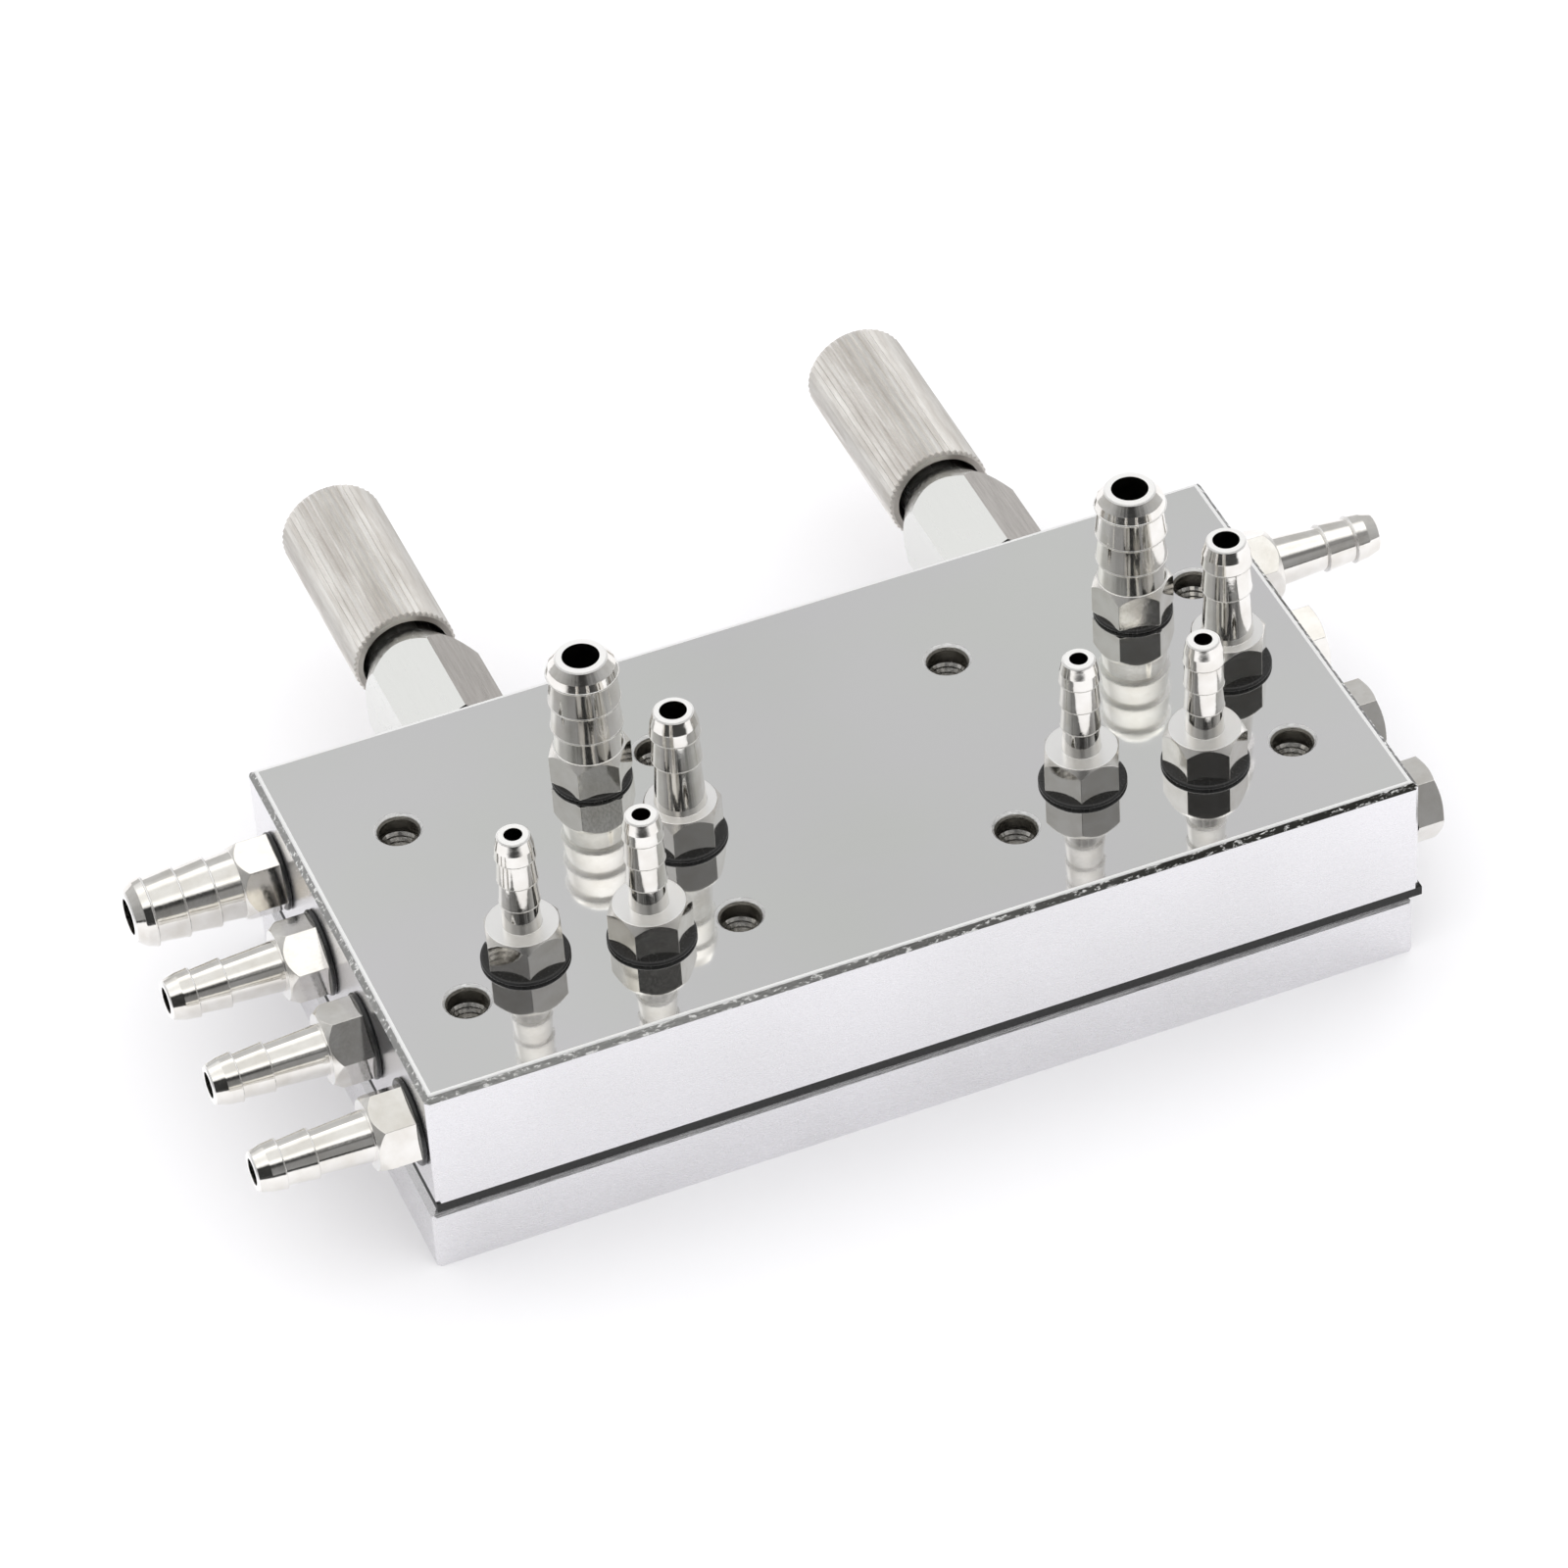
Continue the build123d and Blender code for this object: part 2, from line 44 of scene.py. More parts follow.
GROUND_SHADE = (0.775, 0.768, 0.785)
GROUND_ROUGHNESS = (0.18, 0.34)
GROUND_DEPTH = 0.004 * MM
GRAIN_STRETCH = (0.06, 1, 1)
GRAIN_SCALE = 9000
PLATE_CLOUDS = 90
NOISE_LOW = 0.3
NOISE_HIGH = 0.7


def add_node(tree, kind, **settings):
    """A node with its properties set by name, and its inputs by position where given a dict."""
    node = tree.nodes.new("ShaderNode" + kind)
    for key, value in settings.items():
        if key == "inputs":
            for place, entry in value.items():
                if isinstance(entry, bpy.types.NodeSocket):
                    tree.links.new(entry, node.inputs[place])
                else:
                    node.inputs[place].default_value = entry
        else:
            setattr(node, key, value)
    return node


def new_finish(name, colour, roughness, metallic=1.0):
    """A material, its node tree and its shader."""
    finish = bpy.data.materials.new(name)
    finish.use_nodes = True
    shader = finish.node_tree.nodes["Principled BSDF"]
    shader.inputs["Base Color"].default_value = (*colour, 1)
    shader.inputs["Roughness"].default_value = roughness
    shader.inputs["Metallic"].default_value = metallic
    return finish, finish.node_tree, shader


def place_of(tree, scale=(1, 1, 1)):
    """Object coordinates stretched by a scale along each axis."""
    where = add_node(tree, "TexCoord").outputs["Object"]
    return add_node(tree, "Mapping", inputs={"Vector": where, "Scale": scale}).outputs[0]


def noise(tree, place, scale, detail=3.0, rough=0.5):
    """Noise from 0 to 1, with its scale per metre."""
    return add_node(tree, "TexNoise", inputs={"Vector": place, "Scale": scale, "Detail": detail,
                                              "Roughness": rough}).outputs[0]


def spread(tree, value, low, high, to_low=0.0, to_high=1.0):
    """Maps low..high of a value to another range, held at its ends."""
    return add_node(tree, "MapRange", inputs={0: value, 1: low, 2: high, 3: to_low,
                                              4: to_high}).outputs[0]


def blend_colours(tree, share, first, second):
    """Colour between two colours, each a tuple or a socket."""
    first = (*first, 1) if isinstance(first, tuple) else first
    second = (*second, 1) if isinstance(second, tuple) else second
    return add_node(tree, "Mix", data_type="RGBA", inputs={0: share, 6: first, 7: second}).outputs[2]


def relief(tree, height, depth, below=None):
    """Bump of a given depth in metres, on top of another normal."""
    inputs = {"Height": height, "Distance": depth, "Strength": 1.0}
    if below is not None:
        inputs["Normal"] = below
    return add_node(tree, "Bump", inputs=inputs).outputs[0]


def roughen(tree, shader, pattern, roughness, depth, high=NOISE_HIGH):
    """Lets a pattern vary the roughness between two values and stand out as a relief."""
    varied = spread(tree, pattern, NOISE_LOW, high, *roughness)
    tree.links.new(varied, shader.inputs["Roughness"])
    tree.links.new(relief(tree, pattern, depth), shader.inputs["Normal"])


def ground_grain(tree):
    """Fine scratches of a grinding belt, run along the block."""
    return noise(tree, place_of(tree, GRAIN_STRETCH), GRAIN_SCALE, 4.0, 0.6)


def plate_finish():
    """Bright plating over ground metal."""
    finish, tree, shader = new_finish("ground_plating", GROUND_METAL, 0.25)
    cloud = spread(tree, noise(tree, place_of(tree), PLATE_CLOUDS), 0.35, 0.65)
    colour = blend_colours(tree, cloud, GROUND_METAL, GROUND_SHADE)
    tree.links.new(colour, shader.inputs["Base Color"])
    roughen(tree, shader, ground_grain(tree), GROUND_ROUGHNESS, GROUND_DEPTH)
    return finish


def dress(name, finish):
    """Gives a modelled node its finish and material slot."""
    piece = nodes[name]
    piece.data.materials.clear()
    piece.data.materials.append(finish)


dress("lower_plate", plate_finish())

# Clamp screws
# Eight socket head screws of plain steel. They come up from counterbores in the lower plate
# and pull the plate and the sheet against the block.
SCREW_STEEL = (0.50, 0.50, 0.51)
SCREW_ROUGHNESS = (0.25, 0.42)
SCREW_DEPTH = 0.005 * MM
SCREW_MARKS = 2500
SCREW_STRETCH = (1, 1, 8)


def screw_finish():
    """Plain steel with turning marks."""
    finish, tree, shader = new_finish("screw_steel", SCREW_STEEL, 0.32)
    marks = noise(tree, place_of(tree, SCREW_STRETCH), SCREW_MARKS)
    roughen(tree, shader, marks, SCREW_ROUGHNESS, SCREW_DEPTH)
    return finish


dress("clamp_screws", screw_finish())

# Diaphragm sheet
# One sheet of black rubber between plate and block, the moving wall of every cell.
# It is cut to the block's outline and squeezed by the screws.
RUBBER_BLACK = (0.018, 0.018, 0.018)
RUBBER_SHEEN = 0.4
RUBBER_SKIN = 4000
SHEET_ROUGHNESS = 0.6
SHEET_DEPTH = 0.01 * MM


def rubber_finish(name, roughness, skin_depth):
    """Black rubber with a fine skin."""
    finish, tree, shader = new_finish(name, RUBBER_BLACK, roughness, 0.0)
    shader.inputs["Specular IOR Level"].default_value = RUBBER_SHEEN
    skin = noise(tree, place_of(tree), RUBBER_SKIN, 4.0)
    roughen(tree, shader, skin, (roughness - 0.08, roughness + 0.12), skin_depth)
    return finish


dress("diaphragm_sheet", rubber_finish("sheet_rubber", SHEET_ROUGHNESS, SHEET_DEPTH))

# Upper block
# A solid metal block that holds every port and gallery, plated bright: its top is polished to
# a mirror and its sides are ground. The sharp edges are broken by hand, so they are uneven.
POLISHED_METAL = (0.855, 0.865, 0.845)
POLISHED_LILAC = (0.865, 0.858, 0.870)
EDGE_METAL = (0.97, 0.97, 0.96)
# Nearly black, for ragged patches along the broken edge.
EDGE_DARK_PATCH = (0.05, 0.05, 0.045)
# Dark, painted as shade down the holes.
HOLE_SHADE = (0.20, 0.19, 0.17)
# Near white, painted as a highlight on the rims of the holes, the top of the broken edge and the
# top's border.
RIM_HIGHLIGHT = (0.95, 0.95, 0.95)
POLISH_ROUGHNESS = (0.035, 0.075)
EDGE_ROUGHNESS = (0.55, 0.3)
RIM_ROUGHNESS = 0.5
HOLE_ROUGHNESS = (0.25, 0.45)
EDGE_BREAK = 0.6 * MM
EDGE_BORDER = 0.3 * MM
BORDER_BLEND = 0.06 * MM
OUTER_SKIN = 1.2 * MM
SKIN_BLEND = 0.1 * MM
POLISH_DEPTHS = (0.03 * MM, 0.01 * MM)
RIM_DEPTHS = (0.12 * MM, 0.08 * MM)
HOLE_RIM_DEPTHS = (0.30 * MM, 0.22 * MM)
EDGE_DEPTHS = (EDGE_BREAK + 0.02 * MM, EDGE_BREAK - 0.02 * MM)
BLOCK_CLOUDS = 45
BUFFING_STRETCH = (0.12, 1, 1)
BUFFING_SCALE = 1500
RAGGED_STRETCH = (0.45, 1, 1)
RAGGED_SCALE = 2300
NICKED_LEFT = 0.65
NICKED_RIGHT = 1.0
NICK_DEPTH = 0.09 * MM
WAVE_SCALE = 160
WAVE_DEPTH = 0.004 * MM
GRAIN_ON_TOP = 0.1
block_low, block_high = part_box("upper_block")


def blend_values(tree, share, first, second):
    """Number between two numbers, each a float or a socket."""
    return add_node(tree, "Mix", inputs={0: share, 2: first, 3: second}).outputs[0]


def combine(tree, operation, *values):
    """A math node over one or two numbers, each a float or a socket."""
    return add_node(tree, "Math", operation=operation, inputs=dict(enumerate(values))).outputs[0]


def part_of(tree, vector, axis):
    """One component of a vector."""
    return add_node(tree, "SeparateXYZ", inputs={0: vector}).outputs[axis]


def from_middle(tree, place, axis):
    """How far a place lies from the middle along an axis."""
    return combine(tree, "ABSOLUTE", part_of(tree, place, axis))


def within_block(tree, place):
    """1 where a point lies inside the block's outline, in its holes, and 0 on its outer faces."""
    shares = []
    for axis in (0, 1):
        starts = block_high[axis] - OUTER_SKIN
        reach = from_middle(tree, place, axis)
        shares.append(spread(tree, reach, starts, starts + SKIN_BLEND, 1.0, 0.0))
    return combine(tree, "MULTIPLY", *shares)


def border_of_top(tree, place):
    """1 in the narrow border of the top face along its broken edges, and 0 within it."""
    shares = []
    for axis in (0, 1):
        starts = block_high[axis] - EDGE_BREAK - EDGE_BORDER
        shares.append(spread(tree, from_middle(tree, place, axis), starts, starts + BORDER_BLEND))
    return combine(tree, "MAXIMUM", *shares)


def near_top(tree, place, depths):
    """1 above the second of two depths under the top face, and 0 below the first."""
    deep, shallow = depths
    return spread(tree, part_of(tree, place, 2), block_high.z - deep, block_high.z - shallow)


def block_finish():
    """Mirror polish on top, ground plating on the sides and a hand-broken edge between, with painted
    highlights along the rims and painted shade down the holes.
    """
    finish, tree, shader = new_finish("polished_block", POLISHED_METAL, 0.05)
    place = place_of(tree)
    top = near_top(tree, place, POLISH_DEPTHS)
    edge = near_top(tree, place, EDGE_DEPTHS)
    rim = near_top(tree, place, RIM_DEPTHS)
    hole_rim = near_top(tree, place, HOLE_RIM_DEPTHS)
    inside = within_block(tree, place)
    border = border_of_top(tree, place)
    cloud = spread(tree, noise(tree, place, BLOCK_CLOUDS, 2.0), 0.35, 0.65)
    grain = ground_grain(tree)
    buffing = noise(tree, place_of(tree, BUFFING_STRETCH), BUFFING_SCALE, 3.0, 0.6)
    ragged = noise(tree, place_of(tree, RAGGED_STRETCH), RAGGED_SCALE, 4.0, 0.7)
    most_torn = spread(tree, part_of(tree, place, 0), block_low.x / 2, block_high.x / 2,
                       NICKED_LEFT, NICKED_RIGHT)
    torn = combine(tree, "MULTIPLY", spread(tree, ragged, 0.38, 0.46), most_torn)

    polish = blend_colours(tree, cloud, POLISHED_METAL, POLISHED_LILAC)
    # The top's border along the broken edges is painted near white as a highlight.
    polish = blend_colours(tree, border, polish, RIM_HIGHLIGHT)
    ground = blend_colours(tree, cloud, GROUND_METAL, GROUND_SHADE)
    # The broken edge is coloured nearly black in ragged patches, more of them towards the right.
    edge_with_dark_patches = blend_colours(tree, torn, EDGE_METAL, EDGE_DARK_PATCH)
    # The top strip of the broken edge is painted near white as a highlight.
    broken = blend_colours(tree, rim, edge_with_dark_patches, RIM_HIGHLIGHT)
    outer = blend_colours(tree, edge, ground, broken)
    # Down the holes the walls are painted dark as shade, under a painted highlight at their rims.
    hole = blend_colours(tree, hole_rim, HOLE_SHADE, RIM_HIGHLIGHT)
    below = blend_colours(tree, inside, outer, hole)
    tree.links.new(blend_colours(tree, top, below, polish), shader.inputs["Base Color"])

    rough_ground = spread(tree, grain, NOISE_LOW, NOISE_HIGH, *GROUND_ROUGHNESS)
    rough_nicked = spread(tree, torn, 0.0, 1.0, *EDGE_ROUGHNESS)
    rough_edge = blend_values(tree, rim, rough_nicked, RIM_ROUGHNESS)
    rough_outer = blend_values(tree, edge, rough_ground, rough_edge)
    rough_hole = blend_values(tree, hole_rim, *HOLE_ROUGHNESS)
    rough_below = blend_values(tree, inside, rough_outer, rough_hole)
    rough_polish = spread(tree, buffing, NOISE_LOW, 0.75, *POLISH_ROUGHNESS)
    rough_top = blend_values(tree, border, rough_polish, RIM_ROUGHNESS)
    tree.links.new(blend_values(tree, top, rough_below, rough_top), shader.inputs["Roughness"])

    waves = relief(tree, noise(tree, place, WAVE_SCALE, 2.0), WAVE_DEPTH)
    marks = combine(tree, "MULTIPLY", grain, blend_values(tree, top, 1.0, GRAIN_ON_TOP))
    nicks = combine(tree, "MULTIPLY", ragged, blend_values(tree, top, edge, 0.0))
    marked = relief(tree, marks, GROUND_DEPTH, waves)
    tree.links.new(relief(tree, nicks, NICK_DEPTH, marked), shader.inputs["Normal"])
    return finish


dress("upper_block", block_finish())

# Threads in the eight screw holes
# Each hole is drilled through and tapped from below, so the thread starts a little under the
# polished face. The ridges stand in the tapped stretch, down to the end of the clamp screw.
HOLES = ((-41.9, -14.2), (-14.8, -14.2), (13.2, -14.2), (41.8, -14.2),
         (-39.7, 10.7), (-13.5, 10.7), (16.8, 10.7), (42.9, 10.7))
THREAD_METAL = (0.90, 0.88, 0.84)
THREAD_ROUGHNESS = (0.12, 0.3)
THREAD_DEPTH = 0.003 * MM
THREAD_MARKS = 1800
THREAD_PITCH = 0.7 * MM
THREAD_ROOT = 2.01 * MM
THREAD_CREST = 1.76 * MM
ROOT_HALF = 0.46 * THREAD_PITCH
CREST_HALF = 0.06 * THREAD_PITCH
THREAD_TOP = block_high.z - 1.85 * MM
THREAD_TURNS = 4
THREAD_STEPS = 28
SAME_PLACE = 0.0001 * MM


def as_piece(shape, name, finish, body="valve_block", smooth=True):
    """Turns a shape into a piece of the object that rides on a body."""
    mesh = bpy.data.meshes.new(name)
    bmesh.ops.recalc_face_normals(shape, faces=shape.faces)
    shape.to_mesh(mesh)
    shape.free()
    for face in mesh.polygons:
        face.use_smooth = smooth
    mesh.materials.append(finish)
    piece = bpy.data.objects.new(name, mesh)
    bpy.context.scene.collection.objects.link(piece)
    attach(piece, body)


def thread_finish():
    """Bare cut metal inside the holes, a little dull."""
    finish, tree, shader = new_finish("cut_thread", THREAD_METAL, 0.2)
    torn = noise(tree, place_of(tree), THREAD_MARKS)
    roughen(tree, shader, torn, THREAD_ROUGHNESS, THREAD_DEPTH)
    return finish


threads = bmesh.new()
for hole_x, hole_y in HOLES:
    middle = Vector((hole_x * MM, hole_y * MM, 0))
    corners = [(THREAD_ROOT, ROOT_HALF), (THREAD_CREST, CREST_HALF),
               (THREAD_CREST, -CREST_HALF), (THREAD_ROOT, -ROOT_HALF)]
    ring = [threads.verts.new(middle + Vector((r, 0, THREAD_TOP + rise))) for r, rise in corners]
    profile = threads.faces.new(ring)
    first_end = [threads.verts.new(vertex.co) for vertex in ring]
    threads.faces.new(first_end[::-1])
    bmesh.ops.spin(threads, geom=[profile], cent=middle, axis=(0, 0, 1),
                   dvec=(0, 0, -THREAD_PITCH / THREAD_STEPS), angle=-math.tau * THREAD_TURNS,
                   steps=THREAD_STEPS * THREAD_TURNS, use_merge=False, use_duplicate=False)
bmesh.ops.remove_doubles(threads, verts=threads.verts, dist=SAME_PLACE)
as_piece(threads, "screw_hole_threads", thread_finish(), smooth=False)

# Hose tails, plugs and their seals
# Turned from hexagon bar of nickel-plated brass, each screwed into its port onto a black rubber
# ring. The lathe leaves a fine rolled lip at the foot of every barb.
NICKEL = (0.86, 0.845, 0.815)
NICKEL_SHADE = (0.76, 0.735, 0.69)
# Near white, painted as a highlight on faces square to the axis, on the head and whitest on the
# tail.
NICKEL_FACE_HIGHLIGHT = (0.96, 0.955, 0.945)
NICKEL_RIM_HIGHLIGHT = (0.99, 0.985, 0.975)
NICKEL_ROUGHNESS = (0.04, 0.13)
NICKEL_DEPTH = 0.003 * MM
CROWN_ROUGHNESS = 0.26
FACE_ROUGHNESS = 0.28
TIP_ROUGHNESS = 0.55
NICKEL_CLOUDS = 500
LATHE_RINGS = 3500
CROWN_TOP = 4.5 * MM
CROWN_BLEND = 0.1 * MM
CORNER_ROUNDING = 0.10 * MM
SEAL_ROUGHNESS = 0.2
SEAL_DEPTH = 0.001 * MM
LIP_SIDES = 8
LIP_STEPS = 48
LIP_SUNK = 0.7
# Each kind of tail has its barb's radius, its lip's radius and the barbs' depths below its tip.
TAILS = {"small": (1.95, 0.07, (2.6, 5.35, 8.1)),
         "medium": (2.45, 0.07, (2.7, 5.8)),
         "large": (3.5, 0.11, (2.0, 5.15, 8.3))}
TAIL_KINDS = {"pilot_barb": "small", "water_barb": "small", "chip_air_barb": "medium",
              "drive_air_barb": "large", "drive_air_inlet": "large", "chip_air_inlet": "medium",
              "pilot_air_inlet": "medium", "water_inlet": "medium", "drive_air_link": "medium"}


def facing_along(tree, axis):
    """How squarely a surface faces along an axis, either way."""
    facing = add_node(tree, "NewGeometry").outputs["True Normal"]
    return from_middle(tree, facing, axis)


def fitting_finish(name, axis, seat):
    """Bright nickel over turned brass, its crown and its faces square to the axis left duller, those
    faces painted brighter as a highlight.
    """
    finish, tree, shader = new_finish(name, NICKEL, 0.12)
    place = place_of(tree)
    cloud = spread(tree, noise(tree, place, NICKEL_CLOUDS), 0.35, 0.7)
    rings = noise(tree, place, LATHE_RINGS, 3.0, 0.6)
    crown_ends = seat + CROWN_TOP
    reach = from_middle(tree, place, axis)
    on_head = spread(tree, reach, crown_ends, crown_ends + CROWN_BLEND, 1.0, 0.0)
    along = facing_along(tree, axis)
    crown = combine(tree, "MULTIPLY", spread(tree, along, 0.4, 0.5), on_head)
    square = spread(tree, along, 0.62, 0.74)

    colour = blend_colours(tree, cloud, NICKEL, NICKEL_SHADE)
    # Faces square to the axis are painted near white as a highlight.
    face = blend_colours(tree, on_head, NICKEL_RIM_HIGHLIGHT, NICKEL_FACE_HIGHLIGHT)
    tree.links.new(blend_colours(tree, square, colour, face), shader.inputs["Base Color"])

    bright = spread(tree, rings, NOISE_LOW, 0.75, *NICKEL_ROUGHNESS)
    turned = blend_values(tree, crown, bright, CROWN_ROUGHNESS)
    dull = blend_values(tree, on_head, TIP_ROUGHNESS, FACE_ROUGHNESS)
    tree.links.new(blend_values(tree, square, turned, dull), shader.inputs["Roughness"])

    rounded = add_node(tree, "Bevel", samples=4, inputs={0: CORNER_ROUNDING}).outputs[0]
    tree.links.new(relief(tree, rings, NICKEL_DEPTH, rounded), shader.inputs["Normal"])
    return finish


def roll_lip(lips, centre, way, barb, lip):
    """Adds the fine lip round a barb's foot, as a ring about the tail's axis."""
    out = Vector((0, 1, 0)) if way.x else Vector((1, 0, 0))
    ring = []
    for step in range(LIP_SIDES):
        turn = math.tau * step / LIP_SIDES
        reach = barb - lip * LIP_SUNK + lip * math.cos(turn)
        corner = centre + out * reach * MM + way * lip * math.sin(turn) * MM
        ring.append(lips.verts.new(corner))
    edges = []
    for step in range(LIP_SIDES):
        edges.append(lips.edges.new((ring[step], ring[(step + 1) % LIP_SIDES])))
    bmesh.ops.spin(lips, geom=edges, cent=centre, axis=way, angle=math.tau, steps=LIP_STEPS,
                   use_merge=True, use_duplicate=False)


def tip_of(name, along_x):
    """The end of a tail and the way in which it points."""
    low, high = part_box(name)
    middle = (low + high) / 2
    if not along_x:
        return Vector((middle.x, middle.y, high.z)), Vector((0, 0, 1))
    if middle.x > 0:
        return Vector((high.x, middle.y, middle.z)), Vector((1, 0, 0))
    return Vector((low.x, middle.y, middle.z)), Vector((-1, 0, 0))


top_nickel = fitting_finish("top_fitting_nickel", 2, block_high.z)
side_nickel = fitting_finish("side_fitting_nickel", 0, block_high.x)
seal_rubber = rubber_finish("seal_rubber", SEAL_ROUGHNESS, SEAL_DEPTH)
lips = bmesh.new()
for name in nodes:
    if "seal" in name:
        dress(name, seal_rubber)
        continue
    if "barb" not in name and "plug" not in name:
        continue
    along_x = "inlet" in name or "link" in name or "plug" in name
    dress(name, side_nickel if along_x else top_nickel)
    for start, kind in TAIL_KINDS.items():
        if not name.startswith(start):
            continue
        barb, lip, depths = TAILS[kind]
        tip, way = tip_of(name, along_x)
        for depth in depths:
            roll_lip(lips, tip - way * (depth - lip) * MM, way, barb, lip)
as_piece(lips, "barb_lips", top_nickel)

# Needle glands
# Hexagon bar drilled for the needle's thread, screwed into the back of the block.
# The flats keep the drawn skin of the bar under the nickel; those facing right are painted darker as
# shade.
GLAND_NICKEL = (0.77, 0.775, 0.755)
GLAND_RIGHT_SHADE = (0.35, 0.33, 0.305)
GLAND_ROUGHNESS = (0.13, 0.32)
GLAND_DEPTH = 0.002 * MM
GLAND_STRETCH = (1, 0.08, 1)
GLAND_STREAKS = 2500


def gland_finish():
    """Nickel over drawn bar, with streaks along it and the flats on the right painted darker as
    shade.
    """
    finish, tree, shader = new_finish("gland_nickel", GLAND_NICKEL, 0.2)
    facing = add_node(tree, "NewGeometry").outputs["True Normal"]
    # Flats turned to the right are painted darker, as shade.
    turned = spread(tree, part_of(tree, facing, 0), 0.3, 0.4)
    colour = blend_colours(tree, turned, GLAND_NICKEL, GLAND_RIGHT_SHADE)
    tree.links.new(colour, shader.inputs["Base Color"])
    streaks = noise(tree, place_of(tree, GLAND_STRETCH), GLAND_STREAKS, 4.0, 0.6)
    roughen(tree, shader, streaks, GLAND_ROUGHNESS, GLAND_DEPTH, 0.75)
    return finish


gland_nickel = gland_finish()
for side in ("left", "right"):
    dress(f"needle_gland_{side}", gland_nickel)

# Needle stems
# Turned stainless steel, threaded into the glands; the knobs are pressed on their ends.
# Only their middles can be seen, through the gap under each knob.
STEM_STEEL = (0.60, 0.60, 0.60)
STEM_ROUGHNESS = (0.18, 0.35)
STEM_DEPTH = 0.004 * MM
STEM_STRETCH = (1, 12, 1)
STEM_MARKS = 900


def stem_finish():
    """Turned stainless steel."""
    finish, tree, shader = new_finish("stem_steel", STEM_STEEL, 0.25)
    marks = noise(tree, place_of(tree, STEM_STRETCH), STEM_MARKS)
    roughen(tree, shader, marks, STEM_ROUGHNESS, STEM_DEPTH)
    return finish


stem_steel = stem_finish()
for side in ("left", "right"):
    dress(f"needle_stem_{side}", stem_steel)

# Flow knobs
# Straight-knurled cups with a screwdriver slot, satin nickel plated.
# They turn with the needle and run out and in on its thread.
KNOB_METAL = (0.86, 0.84, 0.81)
KNOB_SHADE = (0.69, 0.66, 0.625)
KNOB_MOUTH_SHADE = (0.52, 0.495, 0.46)
KNOB_ROUGHNESS = (0.36, 0.56)
KNOB_DEPTH = 0.03 * MM
KNOB_STRETCH = (1, 0.1, 1)
KNOB_STREAKS = 1100
MOUTH_WIDTH = 0.35 * MM
MOUTH_BLEND = 0.2 * MM
knob_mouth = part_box("flow_knob_left")[0].y


def knob_finish():
    """Satin nickel with uneven streaks along the teeth and painted shade round the mouth."""
    finish, tree, shader = new_finish("satin_knob", KNOB_METAL, 0.38)
    streaks = noise(tree, place_of(tree, KNOB_STRETCH), KNOB_STREAKS, 5.0, 0.65)
    colour = blend_colours(tree, spread(tree, streaks, 0.38, 0.62), KNOB_METAL, KNOB_SHADE)
    # The mouth, next to the gland, is painted darker as shade.
    mouth_ends = knob_mouth + MOUTH_WIDTH
    depth = part_of(tree, place_of(tree), 1)
    mouth = spread(tree, depth, mouth_ends, mouth_ends + MOUTH_BLEND, 1.0, 0.0)
    tree.links.new(blend_colours(tree, mouth, colour, KNOB_MOUTH_SHADE), shader.inputs["Base Color"])
    roughen(tree, shader, streaks, KNOB_ROUGHNESS, KNOB_DEPTH, 0.75)
    return finish


satin_knob = knob_finish()
for side in ("left", "right"):
    dress(f"flow_knob_{side}", satin_knob)

# Floor
# A wide pale sheet under the valve, bright enough to read as white and to keep its shadow.
# Bright metal sees it end a little in front of the valve, towards the dark side of the room.
FLOOR_HALF = 3.0
FLOOR_PALE = (0.955, 0.95, 0.965)
FLOOR_DARK = (0.05, 0.05, 0.05)
SHEET_FADES = 100 * MM
SHEET_GONE = 130 * MM
PHOTO_AZIMUTH = math.radians(-19.393)
to_front = Vector((math.sin(PHOTO_AZIMUTH), -math.cos(PHOTO_AZIMUTH), 0))


def distance_towards(tree, place, way):
    """How far a place lies along a direction."""
    return add_node(tree, "VectorMath", operation="DOT_PRODUCT",
                    inputs={0: place, 1: way}).outputs["Value"]


floor_shape = bmesh.new()
bmesh.ops.create_grid(floor_shape, x_segments=1, y_segments=1, size=FLOOR_HALF)
floor_mesh = bpy.data.meshes.new("floor")
floor_shape.to_mesh(floor_mesh)
floor_shape.free()
floor_paint, floor_tree, floor_shader = new_finish("floor_pale", FLOOR_PALE, 0.9, 0.0)
floor_shader.inputs["Specular IOR Level"].default_value = 0.0
floor_reach = distance_towards(floor_tree, place_of(floor_tree), to_front)
beyond = spread(floor_tree, floor_reach, SHEET_FADES, SHEET_GONE)
mirrored = add_node(floor_tree, "LightPath").outputs["Is Glossy Ray"]
darkened = combine(floor_tree, "MULTIPLY", beyond, mirrored)
floor_colour = blend_colours(floor_tree, darkened, FLOOR_PALE, FLOOR_DARK)
floor_tree.links.new(floor_colour, floor_shader.inputs["Base Color"])
floor_mesh.materials.append(floor_paint)
floor = bpy.data.objects.new("floor", floor_mesh)
bpy.context.scene.collection.objects.link(floor)

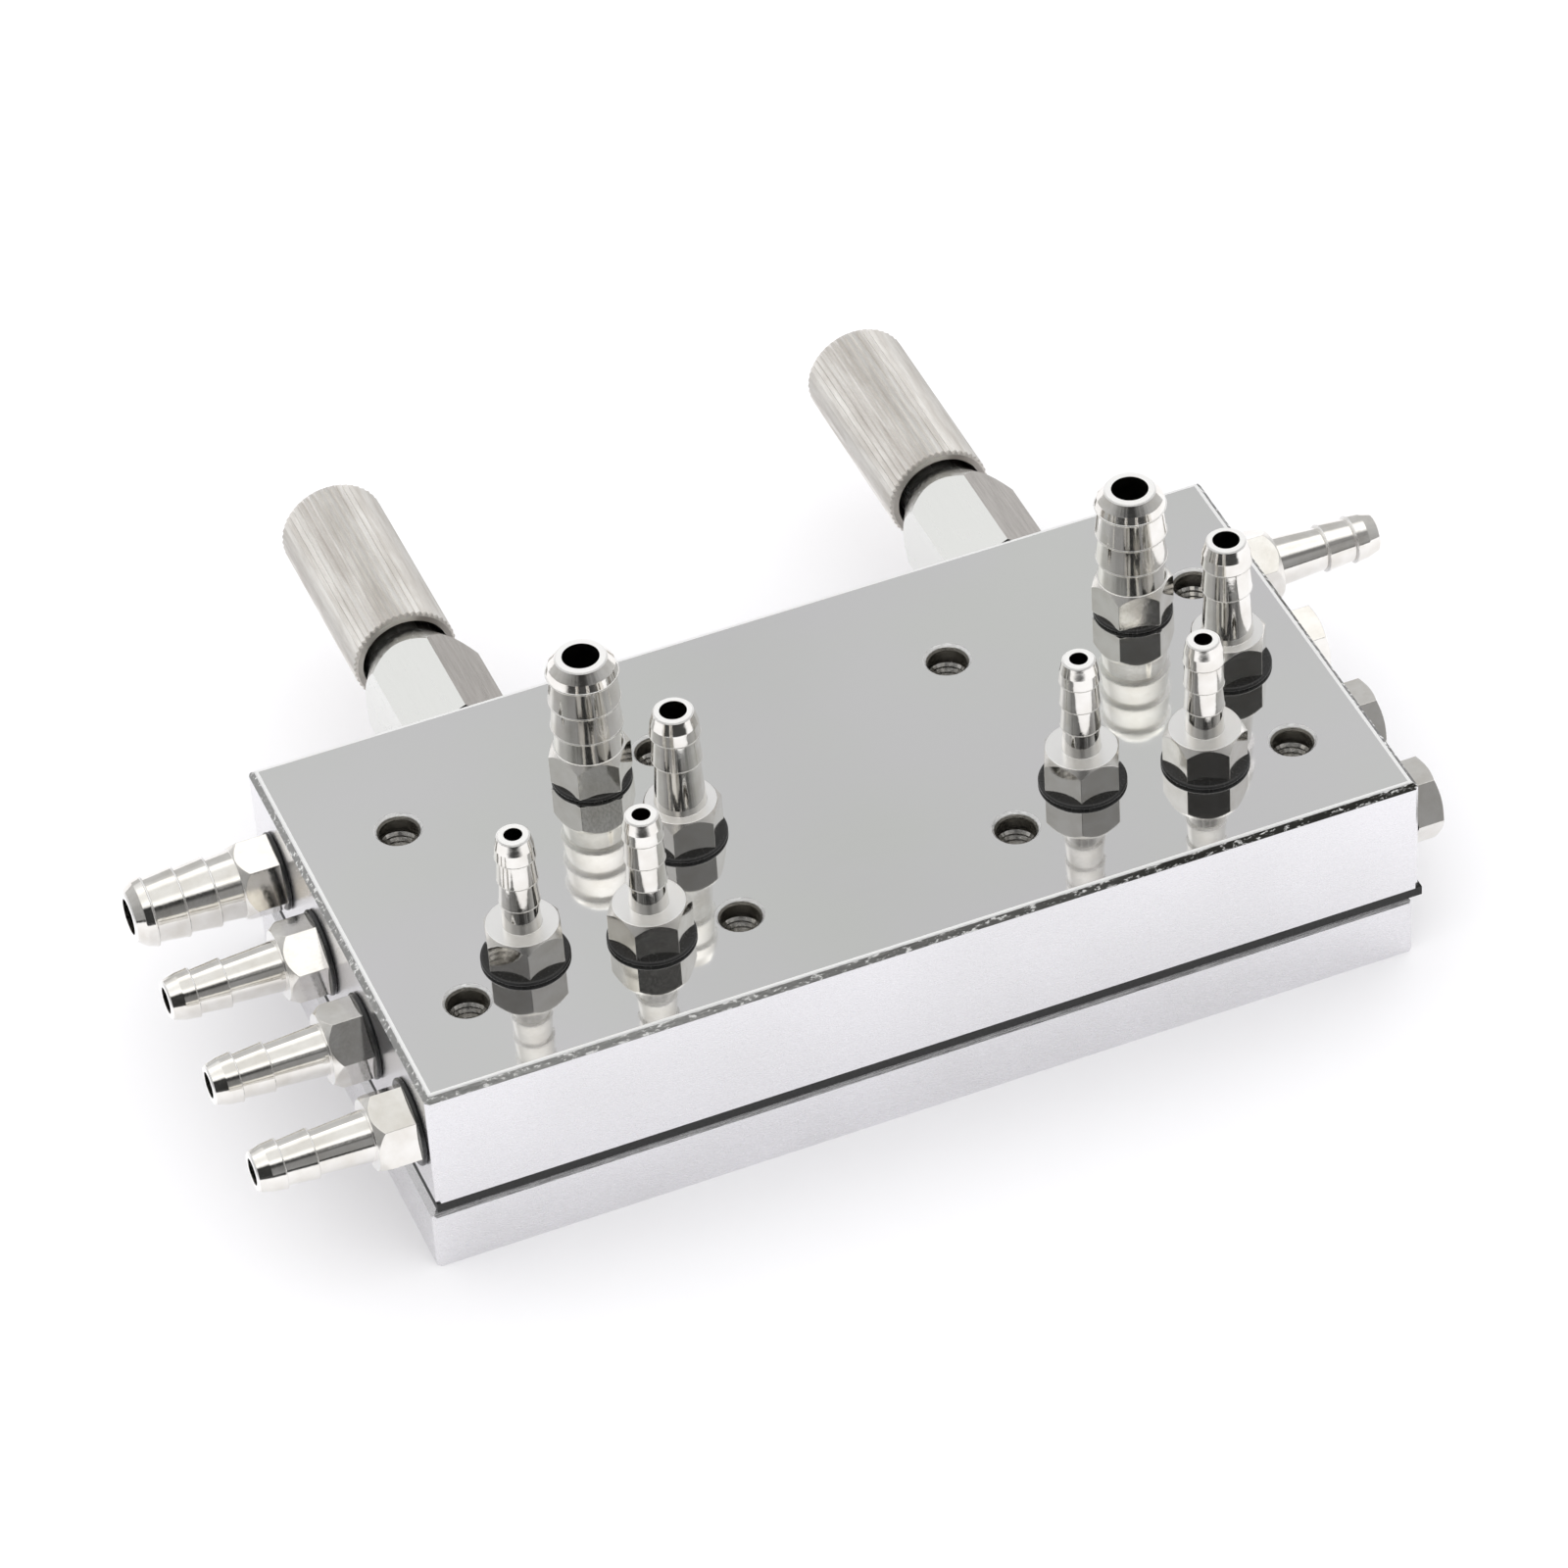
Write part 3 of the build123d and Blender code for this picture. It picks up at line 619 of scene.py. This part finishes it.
# Studio light
# A pale room, greyer at the back, with a ring of light round the ceiling, a soft lamp behind on
# the left, and a dark side where the photographer stands. Bright metal shows it as dark flats.
ROOM_WHITE = 1.24
ROOM_SIDE = 0.42
ROOM_BACK = 0.62
ROOM_DARK = 0.035
ROOM_DUSK = 0.29
ROOM_STREAK = 0.40
ROOM_HAZE = (0.93, 1.05)
CEILING = 0.92
CEILING_RING = 1.55
CEILING_WARMTH = (1.0, 0.995, 0.975)
LAMP = 1.0
LAMP_WAY = Vector((-0.294, 0.702, 0.649))
LAMP_HALF = math.radians(24)
LAMP_CORE = math.radians(10)
RING_STARTS = math.radians(47)
RING_BRIGHTEST = math.radians(57)
RING_ENDS = math.radians(73)
BACK_STARTS = math.radians(130)
DARK_NEAR = math.radians(42)
DARK_FAR = math.radians(78)
DARK_TOP = math.radians(46)
DARK_CLEAR = math.radians(50.5)
DARKEST_NEAR = math.radians(9)
DARKEST_FAR = math.radians(19)
DUSK_TOP = math.radians(28)
DUSK_CLEAR = math.radians(38)
HAZE_SCALE = 11
STREAK_SCALE = 6.0
STREAK_SQUASH = 0.3
to_right = Vector((math.cos(PHOTO_AZIMUTH), math.sin(PHOTO_AZIMUTH), 0))
room = bpy.data.worlds.new("room")
bpy.context.scene.world = room
room.use_nodes = True
air = room.node_tree
direction = add_node(air, "TexCoord").outputs["Generated"]
azimuth = combine(air, "ARCTAN2", distance_towards(air, direction, to_right),
                  distance_towards(air, direction, to_front))
off_camera = combine(air, "ABSOLUTE", azimuth)
elevation = combine(air, "ARCSINE", part_of(air, direction, 2))

wall = spread(air, off_camera, DARK_NEAR, BACK_STARTS, ROOM_SIDE, ROOM_BACK)
lamp = spread(air, distance_towards(air, direction, LAMP_WAY), math.cos(LAMP_HALF),
              math.cos(LAMP_CORE))
haze = spread(air, noise(air, direction, HAZE_SCALE, 2.0), NOISE_LOW, NOISE_HIGH, *ROOM_HAZE)
walls = combine(air, "MULTIPLY", haze, blend_values(air, lamp, wall, LAMP))
overhead = spread(air, elevation, RING_STARTS, RING_BRIGHTEST)
ceiling = spread(air, elevation, RING_BRIGHTEST, RING_ENDS, CEILING_RING, CEILING)
bright = blend_values(air, overhead, walls, ceiling)

squashed = combine(air, "MULTIPLY", elevation, STREAK_SQUASH)
around = add_node(air, "CombineXYZ", inputs={0: azimuth, 1: squashed}).outputs[0]
darkest = spread(air, elevation, DUSK_TOP, DUSK_CLEAR, ROOM_DUSK, ROOM_DARK)
streaks = spread(air, noise(air, around, STREAK_SCALE, 2.0), 0.47, 0.70, darkest, ROOM_STREAK)
in_front = spread(air, off_camera, DARKEST_NEAR, DARKEST_FAR, 1.0, 0.0)
streaks = blend_values(air, in_front, streaks, ROOM_DARK)
dark = combine(air, "MULTIPLY", spread(air, off_camera, DARK_NEAR, DARK_FAR, 1.0, 0.0),
               spread(air, elevation, DARK_TOP, DARK_CLEAR, 1.0, 0.0))

seen_in_metal = blend_values(air, dark, bright, streaks)
glossy = add_node(air, "LightPath").outputs["Is Glossy Ray"]
level = blend_values(air, glossy, ROOM_WHITE, seen_in_metal)
warmed = combine(air, "MULTIPLY", glossy, overhead)
tint = blend_colours(air, warmed, (1.0, 1.0, 1.0), CEILING_WARMTH)
background = air.nodes["Background"]
air.links.new(level, background.inputs["Strength"])
air.links.new(tint, background.inputs["Color"])

# Camera
# Stands where the photograph was taken from, in front and above on the left, with the same long
# lens. It is held with a slight tilt, which adds a little to the block's climb to the right.
PHOTO_ELEVATION = math.radians(41.930)
PHOTO_ROLL = math.radians(-4.090)
PHOTO_DISTANCE = 671.75 * MM
PHOTO_AIM = Vector((-4.264, 0.850, 21.3)) * MM
PHOTO_LENS = 162.57
SENSOR_WIDTH = 36
NEAREST_SEEN = 0.01
lens = bpy.data.cameras.new("photo_camera")
lens.lens = PHOTO_LENS
lens.sensor_width = SENSOR_WIDTH
lens.clip_start = NEAREST_SEEN
camera = bpy.data.objects.new("photo_camera", lens)
bpy.context.scene.collection.objects.link(camera)
towards_camera = to_front * math.cos(PHOTO_ELEVATION) + Vector((0, 0, math.sin(PHOTO_ELEVATION)))
level_up = towards_camera.cross(to_right)
right = to_right * math.cos(PHOTO_ROLL) + level_up * math.sin(PHOTO_ROLL)
up = level_up * math.cos(PHOTO_ROLL) - to_right * math.sin(PHOTO_ROLL)
turn = Matrix((right, up, towards_camera)).transposed()
stand = PHOTO_AIM + towards_camera * PHOTO_DISTANCE
camera.matrix_world = Matrix.Translation(stand) @ turn.to_4x4()
bpy.context.scene.camera = camera
bpy.context.scene.view_settings.view_transform = "Standard"
